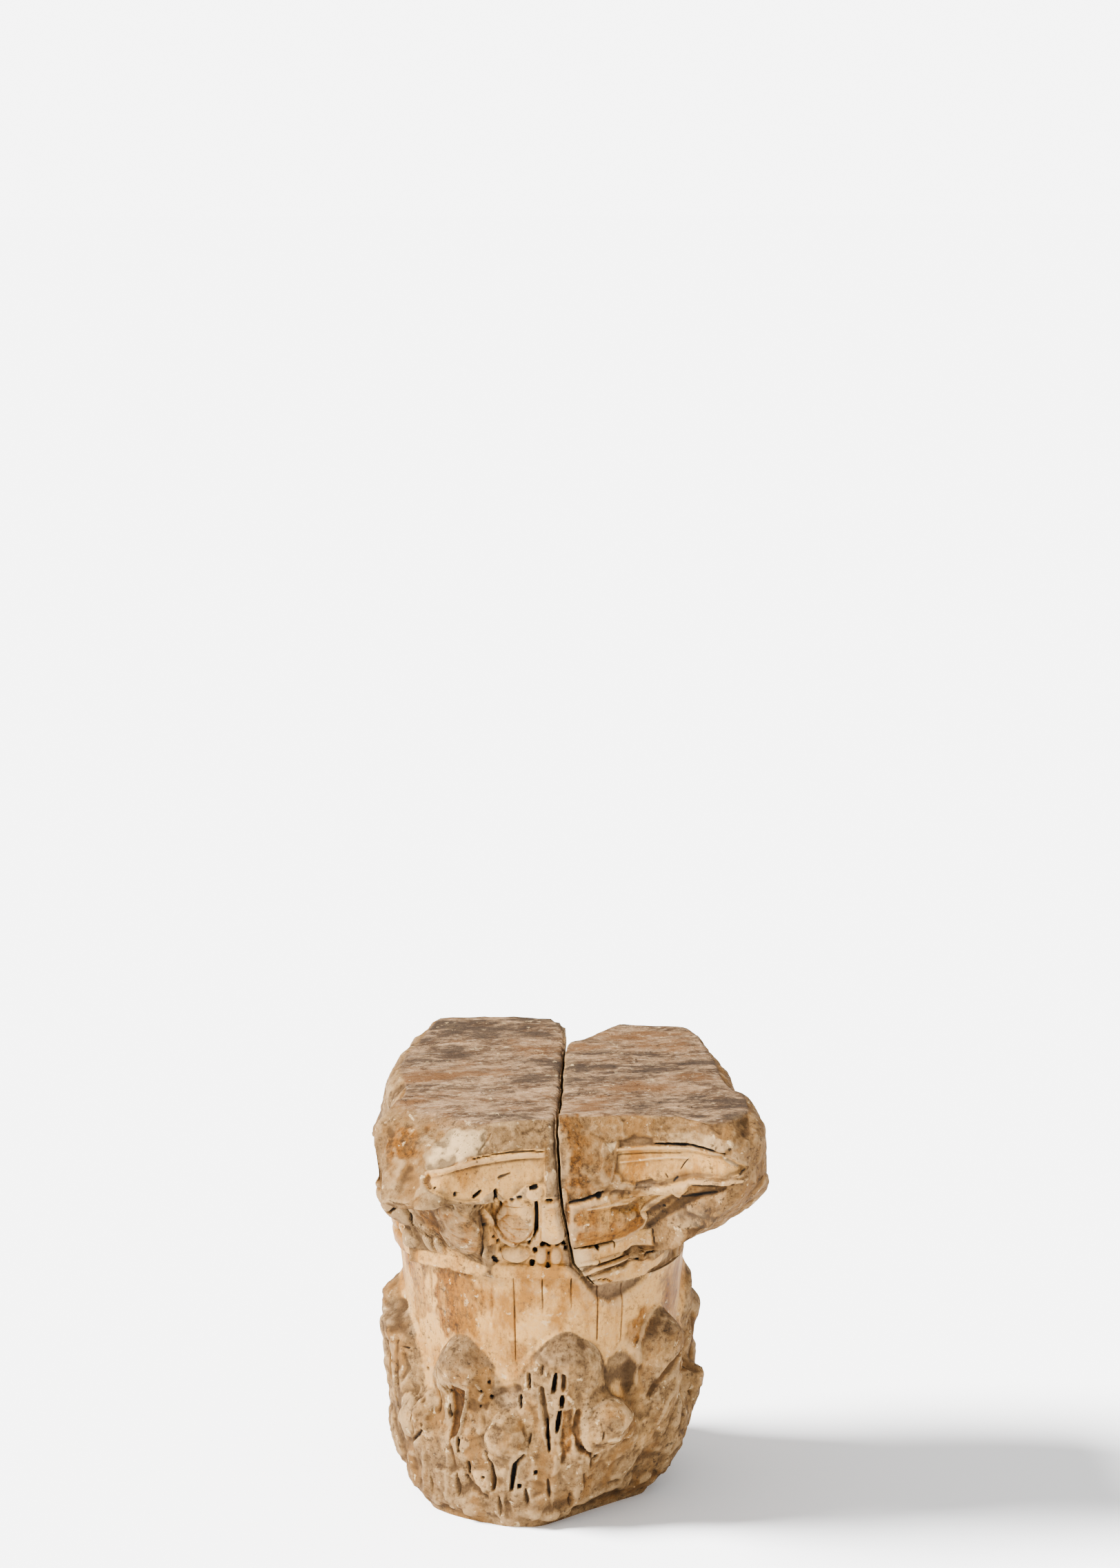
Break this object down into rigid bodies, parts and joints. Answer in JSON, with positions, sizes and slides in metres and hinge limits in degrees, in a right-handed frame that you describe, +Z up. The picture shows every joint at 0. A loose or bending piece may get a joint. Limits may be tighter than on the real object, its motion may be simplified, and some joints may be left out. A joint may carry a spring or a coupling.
{
  "type": "composite capital",
  "caption": "Broken Roman column capital with acanthus leaves, fluted bell, egg band and diagonal volutes; stands on its underside as a plinth or seat.",
  "frame": {"origin": "on the column axis, in the plane of the underside", "axes": "+Z up the column axis, front face along -Y, +X to the right as seen from the front"},
  "size_m": [0.4513, 0.4543, 0.5212],
  "materials": {
    "weathered_marble": "matt, weathered",
    "weathered_marble_fragment": "matt, weathered"
  },
  "bodies": {
    "root": {"main_block": "weathered_marble", "right_fragment": "weathered_marble_fragment"}
  },
  "joints": []
}
